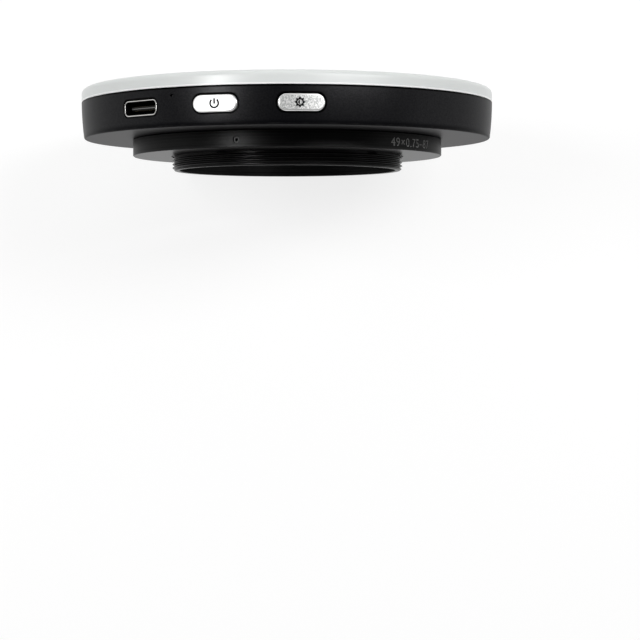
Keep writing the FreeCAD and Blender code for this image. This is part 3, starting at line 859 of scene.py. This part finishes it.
socket = {
    "angle": -40.3, "y": 7.55, "length": 8.94, "height": 3.16, "corner": 1.1,
    "wall": 0.3, "depth": 7.35, "gap": 0.1, "outlinePoints": 120,
}
pinhole = {"angle": -29.5, "y": 9.5, "radius": 0.33, "halfSpan": 1.6, "columns": 16, "edge": 0.04}
buttonAngles = {"power_button": -17.3, "brightness_button": 4.6}
button = {
    "y": 7.65, "length": 8.95, "height": 3.33, "rise": 0.41, "gap": 0.2, "edge": 0.3,
    "faceStart": 0.08, "skirt": 0.1, "backZ": 40.447, "earSpan": 11.55, "earHeight": 2.9,
    "earCorner": 0.35, "earEdge": 0.08, "earTop": 41.147, "earPoints": 96, "outlinePoints": 144,
}
band = (5.2, 10.4)
housing = {
    "backEdge": 0.38,
    "jointEdge": 0.12,
    "neckEdge": 0.12,
    "openingEdge": 0.15,
    "innerEdge": 0.06,
    "floorEdge": 0.1,
    "grooveDepth": 0.4,
    "grooveEdge": 0.08,
    "grooveRim": 0.04,
    "floorY": head["backY"] + 1.3,
    "columnAngle": 1.0,
    "window": {
        # A mark of -1 paints shade round each window's edge
        "halfSpan": 7.4, "columns": 46, "rows": 26, "outer": band, "inner": band, "edge": 0.1, "wear": -1.0,
    },
    "posts": {"angles": (30, 90, 150, 210, 270), "circle": 37.997, "top": 9.5},
    "pads": {"angles": (-54, 16), "circle": 35.298, "top": 5.15},
    "postRadius": 1.6,
    "postSink": 0.1,
    "postColumns": 48,
    "postSteps": 3,
    "postEdge": 0.1,
    "holeEdge": 0.06,
    "screwRadius": 0.62,
}


def housingWindows(cells):
    radius = pinhole["radius"]
    changes = {name: pinhole[name] for name in ("halfSpan", "columns", "edge")}
    found = [
        windowAt(cells, *(socket[name] for name in ("angle", "y", "length", "height", "corner", "gap"))),
        windowAt(cells, pinhole["angle"], pinhole["y"], 2 * radius, 2 * radius, radius, wear=0.0, **changes),
    ]
    for angle in buttonAngles.values():
        length, height = button["length"], button["height"]
        found.append(windowAt(cells, angle, button["y"], length, height, height / 2, button["gap"]))
    return found


def buildHousing(values):
    bandHeights = np.linspace(*band, values["window"]["rows"] + 1)
    walls = ("opening", "neck", "cavity", "innerWall")
    opening, neck, cavity, inner = (head[wall + "Radius"] for wall in walls)
    joint, neckEnd, backY, floor = head["jointY"], head["neckEndY"], head["backY"], values["floorY"]
    grooveY, depth = clampSpot["y"], values["grooveDepth"]
    corners = [
        (opening, neckEnd, values["neckEdge"]),
        (neck, neckEnd, values["neckEdge"]),
        (neck, grooveY - depth, values["grooveRim"]),
        (neck - depth, grooveY, values["grooveEdge"]),
        (neck, grooveY + depth, values["grooveRim"]),
        (neck, backY, values["grooveEdge"]),
        (rimRadiusAt(backY), backY, values["backEdge"]),
        *((rimRadiusAt(y), y, 0) for y in bandHeights),
        (head["rimRadius"], joint, values["jointEdge"]),
        (cavity, joint, values["innerEdge"]),
        *((cavity, y, 0) for y in bandHeights[::-1]),
        (cavity, floor, values["floorEdge"]),
        (inner, floor, values["floorEdge"]),
        (inner, joint, values["innerEdge"]),
        (opening, joint, values["openingEdge"]),
    ]
    outline, wear = roundedOutline(corners)
    windows = housingWindows(values["window"])
    angles = anglesRound(windows, values["columnAngle"])
    gaps = gapsFor(windows, outline, angles, (cavity + 0.5, head["rimRadius"] + 0.5), near(cavity))
    surfaces = [turnedSurface(outline[:, 0], outline[:, 1], angles, wear, gaps)]
    surfaces += [windowSurface(w, rimRadiusAt, lambda y: np.full_like(y, cavity)) for w in windows]
    turn = np.arange(0, 360, 360 / values["postColumns"])
    sink, thick, thin = floor - values["postSink"], values["postRadius"], values["screwRadius"]
    for group in (values["posts"], values["pads"]):
        tube = [(thin, sink, 0), (thick, sink, 0)]
        tube += [(thick, group["top"], values["postEdge"]), (thin, group["top"], values["holeEdge"])]
        post = roundedOutline(tube, values["postSteps"])[0]
        for angle in group["angles"]:
            centre = [group["circle"] * way(math.radians(angle)) for way in (math.sin, math.cos)]
            surfaces.append(turnedSurface(post[:, 0], post[:, 1], turn, centre=centre))
    makePiece("housingShell", surfaces, housingBlack, "head", "rear_housing")


# Diffuser: the milky cover with its rounded front and the two lips that sit inside the walls

cover = {
    "frontEdge": 1.1, "jointEdge": 0.1, "lipEdge": 0.12, "footEdge": 0.05, "innerEdge": 0.3,
    "thickness": 1.2, "lip": 0.8, "lipGap": 0.05, "edgeSteps": 10, "columnAngle": 1.0,
}


def buildCover(values):
    opening, rim, joint, front = (head[name] for name in ("openingRadius", "rimRadius", "jointY", "frontY"))
    innerLip = head["innerWallRadius"] + values["lipGap"]
    outerLip = head["cavityRadius"] - values["lipGap"]
    ceiling = front - values["thickness"]
    lipEnd, lip, edge, foot = head["lipEndY"], values["lip"], values["lipEdge"], values["footEdge"]
    corners = [
        (opening, joint, values["jointEdge"]),
        (innerLip, joint, foot),
        (innerLip, lipEnd, edge),
        (innerLip + lip, lipEnd, edge),
        (innerLip + lip, ceiling, values["innerEdge"]),
        (outerLip - lip, ceiling, values["innerEdge"]),
        (outerLip - lip, lipEnd, edge),
        (outerLip, lipEnd, edge),
        (outerLip, joint, foot),
        (rim, joint, values["jointEdge"]),
        (rim, front, values["frontEdge"]),
        (opening, front, values["frontEdge"]),
    ]
    outline, wear = roundedOutline(corners, values["edgeSteps"])
    angles = np.arange(0, 360, values["columnAngle"])
    surfaces = [turnedSurface(outline[:, 0], outline[:, 1], angles, wear)]
    makePiece("diffuserCover", surfaces, milkyWhite, "head", "diffuser")


# Adapter ring: the cup that holds the neck, and the threaded spigot behind it

adapter = {
    "radius": adapterHigh.x,
    "depth": adapterHigh.y,
    "endY": adapterLow.y,
    "chamfer": 0.15,
    "edge": 0.05,
    "wall": (0.4, 2.6),
    "cup": (0.75, 2.25),
    "window": {"halfSpan": 2.4, "columns": 14, "rows": 10, "edge": 0.08, "wear": 0.0},
    "cupRadius": head["neckRadius"] + 0.06,
    "floorY": 0.6,
    "landRadius": head["openingRadius"] - 0.5,
    "landY": 2.2,
    "landEdge": 0.1,
    "slopeEdge": 0.15,
    "endEdge": 0.12,
    "boreRadius": 23.0,
    "crestRadius": 24.5,
    "threadDepth": 0.45,
    "pitch": 0.75,
    "crestShare": 0.133,
    "rootShare": 0.2,
    "reliefY": -0.35,
    "grooveRadius": 24.7,
    "grooveY": 0.2,
    "grooveEdge": 0.03,
    "threadStep": 0.03,
    "threadWear": 0.35,
    "columnAngle": 1.2,
    "sharpAngle": 66.0,
}


# The helical thread: how deep the V is depends on the height less the climb of one pitch a turn.
def threadRadius(y, angles, values):
    phase = (y[:, None] / values["pitch"] - angles[None, :] / 360) % 1.0
    fromRoot = np.abs(phase - 0.5) * 2
    flank = (1 - values["crestShare"] - fromRoot) / (1 - values["crestShare"] - values["rootShare"])
    helix = values["crestRadius"] - values["threadDepth"] * np.clip(flank, 0, 1)
    chamfer = values["crestRadius"] - values["threadDepth"] + (y[:, None] - values["endY"])
    return np.minimum(helix, chamfer)


def buildAdapter(values):
    radius, chamfer, cup = values["radius"], values["chamfer"], values["cupRadius"]
    bore, land, floor, depth = values["boreRadius"], values["landRadius"], values["floorY"], values["depth"]
    root, edge, cells = values["crestRadius"] - values["threadDepth"], values["edge"], values["window"]
    corners = [
        (root, values["grooveY"], values["grooveEdge"]),
        (values["grooveRadius"], values["grooveY"], values["grooveEdge"]),
        (values["grooveRadius"], 0.0, edge),
        (radius - chamfer, 0.0, edge),
        (radius, chamfer, edge),
        *((radius, y, 0) for y in np.linspace(*values["wall"], cells["rows"] + 1)),
        (radius, depth - chamfer, edge),
        (radius - chamfer, depth, edge),
        (cup, depth, values["landEdge"]),
        *((cup, y, 0) for y in np.linspace(*values["cup"], cells["rows"] + 1)[::-1]),
        (cup, floor, edge),
        (land, floor, edge),
        (land, values["landY"], values["landEdge"]),
        ((bore + land) / 2, values["landY"], values["landEdge"]),
        (bore, floor, values["slopeEdge"]),
        (bore, values["endY"], values["endEdge"]),
        (root, values["endY"], 0),
    ]
    outline, wear = roundedOutline(corners)
    across = 2 * clampSpot["radius"]
    windows = [
        windowAt(cells, clampSpot["angle"] + 360 / clampSpot["count"] * i, clampSpot["y"], across, across,
                 clampSpot["radius"], outer=values["wall"], inner=values["cup"])
        for i in range(clampSpot["count"])
    ]
    angles = anglesRound(windows, values["columnAngle"])
    gaps = gapsFor(windows, outline, angles, near(radius), near(cup))
    threadRows = np.arange(values["endY"] + values["threadStep"], values["reliefY"], values["threadStep"])
    plain = np.repeat(outline[:, :1], len(angles), 1)
    radii = np.vstack([plain, threadRadius(threadRows, angles, values), np.full((1, len(angles)), root)])
    heights = np.concatenate([outline[:, 1], threadRows, [values["reliefY"]]])
    wear = np.concatenate([wear, np.full(len(threadRows), values["threadWear"]), [0.0]])
    surfaces = [turnedSurface(radii, heights, angles, wear, gaps)]
    skins = (lambda y: np.full_like(y, radius), lambda y: np.full_like(y, cup))
    surfaces += [windowSurface(window, *skins, slides=3) for window in windows]
    makePiece("adapterCup", surfaces, anodisedBlack, "adapter", "adapter_ring",
              values["sharpAngle"])


# Button caps: a pill whose face follows the rim, with the ears that hold it in its window

# The height of a cap's face above the axis plane, at a place across and along: a cylinder round the axis
# that stands proud of the rim at the cap's middle.
def faceOutward(across, height):
    return np.sqrt((rimRadiusAt(button["y"]) + button["rise"]) ** 2 - across ** 2) + 0 * height


# The surface of a bar on the rim: its section grown by so much, at so much depth under the face or at a
# fixed place.
def barSurface(section, corner, grow, outward, y, angle, wear=0.0, **closing):
    skeleton, direction = section
    across = skeleton[None, :, 0] + direction[None, :, 0] * (corner + np.asarray(grow)[:, None])
    height = y + skeleton[None, :, 1] + direction[None, :, 1] * (corner + np.asarray(grow)[:, None])
    x, z = atAngle(across, outward(across, height), angle)
    return gridSurface(x, height, z, np.broadcast_to(wear, len(grow))[:, None], closedColumns=True, **closing)


# The face runs from the skirt over a quarter round to the middle, the skirt straight back from it, and the
# ears are a flat bar behind, closed at both ends. Wear is 1 on the round and -1 on the bare plastic.
def buildButton(body, angle, faceSteps=9):
    y, edge, skirt, back = (button[name] for name in ("y", "edge", "skirt", "backZ"))
    corner = button["height"] / 2
    section = barSection(button["length"], button["height"], corner, button["outlinePoints"])
    turn = np.linspace(0, math.pi / 2, faceSteps)
    flat = np.zeros(faceSteps)
    inward = np.linspace(edge + button["faceStart"], corner, faceSteps)
    grow = np.concatenate([[0.0], -edge * (1 - np.cos(turn)), -inward])
    depth = np.concatenate([[edge + skirt], edge * (1 - np.sin(turn)), flat])[:, None]
    wear = np.concatenate([[0.0], flat + 1.0, flat])
    surfaces = [barSurface(section, corner, grow, lambda u, h: faceOutward(u, h) - depth, y, angle, wear)]
    share = np.array([0.0, 0.5, 1.0, 1.0])[:, None]

    def skirtOutward(across, height):
        top = faceOutward(across, height) - edge - skirt
        return top + (back - top) * share

    skirtGrow, skirtWear = [0.0, 0.0, 0.0, -corner], [0.0, -1.0, -1.0, -1.0]
    surfaces.append(barSurface(section, corner, skirtGrow, skirtOutward, y, angle, skirtWear))
    earCorner, earEdge, thick = button["earCorner"], button["earEdge"], button["earTop"] - back
    earSection = barSection(button["earSpan"], button["earHeight"], earCorner, button["earPoints"])
    earGrow = [-earCorner, -earEdge, 0.0, 0.0, -earEdge, -earCorner]
    earOut = back + np.array([0.0, 0.0, earEdge, thick - earEdge, thick, thick])[:, None]
    ears = barSurface(earSection, earCorner, earGrow, lambda u, h: earOut + 0 * u, y, angle, -1.0)
    surfaces += [ears] + flatCaps(ears, len(earGrow), button["earPoints"])
    makePiece(body.split("_")[0] + "Cap", surfaces, buttonSilver, body, body)


# Closes the first and last row of a surface across its middle, each with a strip between its two halves.
def flatCaps(surface, rowCount, columnCount):
    grid = surface[0].reshape(rowCount, columnCount, 3)
    half = columnCount // 2
    caps = []
    for row in (grid[0], grid[-1]):
        both = np.stack([row[:half + 1], np.roll(row[::-1], 1, 0)[:half + 1]])
        caps.append(gridSurface(both[..., 0], both[..., 1], both[..., 2], surface[2][0]))
    return caps


# Charging socket: a thin drawn shell, straight outside and inside, with a half round at its mouth

def buildSocket(values, steps=9):
    wall, corner = values["wall"], values["corner"]
    section = barSection(values["length"], values["height"], corner, values["outlinePoints"])
    front = math.sqrt(rimRadiusAt(values["y"]) ** 2 - (values["length"] / 2) ** 2)
    deep, lip = front - values["depth"], wall / 2
    turn = np.linspace(0, math.pi, steps)
    grow = np.concatenate([[0.0, 0.0], lip * np.cos(turn) - lip, [-wall] * 2])
    straight = front - 2 * lip
    outward = np.concatenate([[deep, straight], front - lip + lip * np.sin(turn), [straight, deep]])
    wear = np.concatenate([[0.0, 0.0], np.sin(turn), [0.0, 0.0]])
    shell = barSurface(section, corner, grow, lambda u, h: outward[:, None] + 0 * u,
                       values["y"], values["angle"], wear, closedRows=True)
    makePiece("socketShell", [shell], nickelShell, "head", "usb_shell")


# Signs on the caps and numbers on the adapter: thin ink, a little proud of the face

ink = {"proud": 0.012, "sunk": 0.02}
powerSign = {
    "radius": 0.83, "stroke": 0.37, "gapAngle": 36.0, "barTop": 0.93, "barEnd": -0.12, "ringSteps": 72,
    "barSteps": 8,
}
sunSign = {
    "points": 8, "tip": 1.08, "valley": 0.75, "hole": 0.46, "halfDisc": 0.37, "aside": -0.3, "ringSteps": 256,
    "discSteps": 32,
}
sizePrint = {
    "words": "49×0.75–87", "height": 2.42, "spacing": 1.12, "startAngle": 40.0, "y": 0.68, "curveSteps": 6,
}


# A slab of ink between two lines of (across, height) points on a cap's face: its section is a
# four-cornered loop carried along the lines, and open ends are closed with one face each.
def inkSlab(inner, outer, angle, closed, aside=0.0):
    lines = np.stack([inner, inner, outer, outer]) + (aside, 0.0)
    lift = np.array([-ink["sunk"], ink["proud"], ink["proud"], -ink["sunk"]])[:, None]
    height = button["y"] + lines[..., 1]
    x, z = atAngle(lines[..., 0], faceOutward(lines[..., 0], height) + lift, angle)
    surfaces = [gridSurface(x, height, z, 0.0, True, closed)]
    if not closed:
        for i in (0, -1):
            corners = np.ix_([0, 1, 3, 2], [i])
            surfaces.append(gridSurface(*(v[corners].reshape(2, 2) for v in (x, height, z))))
    return surfaces


# Points at a radius and an angle from the top of the sign, clockwise.
def signPoints(radius, turn):
    return np.stack([radius * np.sin(turn), radius * np.cos(turn)], 1)


# The power sign: an open ring and a bar through its gap.
def buildPowerSign(values):
    angle = buttonAngles["power_button"]
    gap = math.radians(values["gapAngle"])
    turn = np.linspace(gap, math.tau - gap, values["ringSteps"] + 1)
    radius, half = values["radius"], values["stroke"] / 2
    surfaces = inkSlab(signPoints(radius - half, turn), signPoints(radius + half, turn), angle, False)
    bar = np.linspace(values["barEnd"], values["barTop"], values["barSteps"] + 1)
    surfaces += inkSlab(np.stack([0 * bar - half, bar], 1), np.stack([0 * bar + half, bar], 1), angle, False)
    makePiece("powerSign", surfaces, darkInk, "power_button")


# The sun: a ring whose outer edge runs straight from tip to valley and back, and a half disc inside.
def buildSunSign(values):
    angle, aside = buttonAngles["brightness_button"], values["aside"]
    turn = np.arange(0, math.tau, math.tau / values["ringSteps"])
    step = math.pi / values["points"]
    along = np.abs((turn / step) % 2 - 1)
    tip = signPoints(values["tip"], np.array([0.0]))[0]
    valley = signPoints(values["valley"], np.array([step]))[0]
    edge = valley + (tip - valley) * along[:, None]
    reach = np.hypot(edge[:, 0], edge[:, 1])
    swing = np.arctan2(edge[:, 0], edge[:, 1])
    spoke = np.round(turn / (2 * step)) * 2 * step
    outer = signPoints(1.0, spoke + np.sign(turn - spoke) * swing) * reach[:, None]
    surfaces = inkSlab(signPoints(values["hole"], turn), outer, angle, True, aside)
    arc = signPoints(values["halfDisc"], np.linspace(math.pi, math.tau, values["discSteps"] + 1))
    surfaces += inkSlab(arc * (0, 1), arc, angle, False, aside)
    makePiece("sunSign", surfaces, darkInk, "brightness_button")


# The numbers are set flat, made a mesh and then wrapped on the wall: across becomes an angle, up a height.
def buildSizePrint(values):
    curve = bpy.data.curves.new("sizeWords", "FONT")
    curve.body = values["words"]
    curve.size = values["height"]
    curve.space_character = values["spacing"]
    curve.extrude = ink["sunk"]
    curve.resolution_u = values["curveSteps"]
    words = addObject("sizeWords", curve)
    bpy.context.view_layer.update()
    mesh = bpy.data.meshes.new_from_object(words.evaluated_get(bpy.context.evaluated_depsgraph_get()))
    bpy.data.objects.remove(words)
    flat = np.zeros(len(mesh.vertices) * 3)
    mesh.vertices.foreach_get("co", flat)
    across, up, lift = flat.reshape(-1, 3).T
    turn = math.radians(values["startAngle"]) + across / adapter["radius"]
    radius = adapter["radius"] + lift
    placed = np.stack([radius * np.sin(turn), values["y"] + up, radius * np.cos(turn)], 1) * mm
    mesh.vertices.foreach_set("co", placed.ravel())
    mesh.materials.clear()
    mesh.materials.append(greyInk)
    mesh.name = "sizeNumbers"
    piece = addObject("sizeNumbers", mesh)
    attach(piece, "adapter")
    print("sizeNumbers", len(mesh.polygons), "faces")


# Finishes of the pieces kept as they come from the frame

# Plastic, film, foam and metal: the pieces that take it, two colours and two roughnesses that its clouds run
# between, the sizes of its clouds and grain and the depth of the grain, and how far it is metal if it is.
plainFinishes = {
    "screwBlack": ("clamp_screws", (0.004, 0.004, 0.0045), (0.011, 0.011, 0.0105), (0.34, 0.46),
                   (0.6, 0.05, 0.002), 0.4),
    "screwSteel": ("led_board_screws control_board_screws", (0.5, 0.5, 0.5), (0.7, 0.69, 0.67),
                   (0.29, 0.4), (0.8, 0.06, 0.003), 1.0),
    "washerPlastic": ("friction_washer", (0.16, 0.16, 0.15), (0.22, 0.21, 0.2), (0.35, 0.5),
                      (3.0, 0.12, 0.002)),
    "filmWhite": ("reflector_film", (0.82, 0.83, 0.83), (0.88, 0.88, 0.88), (0.4, 0.5), (2.0, 0.1, 0.001)),
    "chipBlack": ("board_chips", (0.012, 0.012, 0.013), (0.024, 0.024, 0.025), (0.42, 0.6),
                  (1.0, 0.06, 0.004)),
    "ferrite": ("inductor", (0.03, 0.03, 0.032), (0.07, 0.068, 0.066), (0.45, 0.65), (0.8, 0.08, 0.008)),
    "linkBlack": ("board_link", (0.012, 0.012, 0.012), (0.02, 0.02, 0.02), (0.35, 0.5), (1.0, 0.1, 0.003)),
    "pinGold": ("link_pins", (0.75, 0.5, 0.18), (0.9, 0.66, 0.3), (0.29, 0.38), (0.5, 0.05, 0.001), 1.0),
    # The contacts' gold is painted dark, as shade deep in the socket
    "contactGoldInPaintedShade": ("usb_contacts", (0.1, 0.08, 0.045), (0.17, 0.135, 0.08), (0.29, 0.4),
                    (0.4, 0.05, 0.001), 1.0),
    "switchBlack": ("power_switch brightness_switch", (0.012, 0.012, 0.013), (0.024, 0.024, 0.026),
                    (0.35, 0.5), (1.2, 0.1, 0.004)),
    "plungerWhite": ("power_plunger brightness_plunger", (0.66, 0.65, 0.62), (0.76, 0.75, 0.72),
                     (0.32, 0.48), (1.0, 0.1, 0.003)),
    "chargeLamp": ("charge_led", (0.75, 0.74, 0.68), (0.85, 0.83, 0.76), (0.12, 0.25), (0.5, 0.05, 0.002)),
    "foamTape": ("cell_tape", (0.05, 0.05, 0.05), (0.12, 0.12, 0.12), (0.8, 0.95), (0.5, 0.12, 0.05)),
    "wireRed": ("battery_wires_red", (0.4, 0.012, 0.01), (0.55, 0.03, 0.02), (0.3, 0.42),
                (2.0, 0.1, 0.002)),
    "wireBlack": ("battery_wires_black", (0.012, 0.012, 0.012), (0.025, 0.025, 0.025), (0.3, 0.42),
                  (2.0, 0.1, 0.002)),
}


def makePlain(name, dark, light, roughness, sizes, metal=0.0, grainShare=0.35):
    material, place = newFinish(name)
    cloud, grain, depth = sizes
    clouds = noiseAt(place, cloud, detail=3.0)
    fine = noiseAt(place, grain)
    both = calc("MULTIPLY_ADD", fine, grainShare, times(clouds, 1 - grainShare))
    values = {"roughness": roughness}
    return coat(material, values, mixColors(both, dark, light), clouds, bumpFrom(fine, depth), Metallic=metal)


def dressNodes():
    finishes = {
        "led_board": makeBoardFinish("boardWhite", boardFinish),
        "control_board": makeBoardFinish("boardGreen", boardFinish),
        "warm_leds": makeLampFinish("lampWarm", "warm", lampFinish),
        "cool_leds": makeLampFinish("lampCool", "cool", lampFinish),
        "usb_tongue": makeTongueFinish(tongueFinish),
        "light_pipe": makeClearPipe(pipeFinish),
    }
    for name, (pieces, *look) in plainFinishes.items():
        finishes.update(dict.fromkeys(pieces.split(), makePlain(name, *look)))
    for i, (cell, angle) in enumerate(cellAngles.items()):
        finishes[cell] = makeCellFoil("cellFoil" + str(i + 1), angle, foilFinish)
    for node, material in finishes.items():
        nodes[node].data.materials.clear()
        nodes[node].data.materials.append(material)
    print(len(finishes), "kept pieces given their finishes")


buildHousing(housing)
buildCover(cover)
buildAdapter(adapter)
for buttonBody, buttonAngle in buttonAngles.items():
    buildButton(buttonBody, buttonAngle)
buildSocket(socket)
buildPowerSign(powerSign)
buildSunSign(sunSign)
buildSizePrint(sizePrint)
dressNodes()
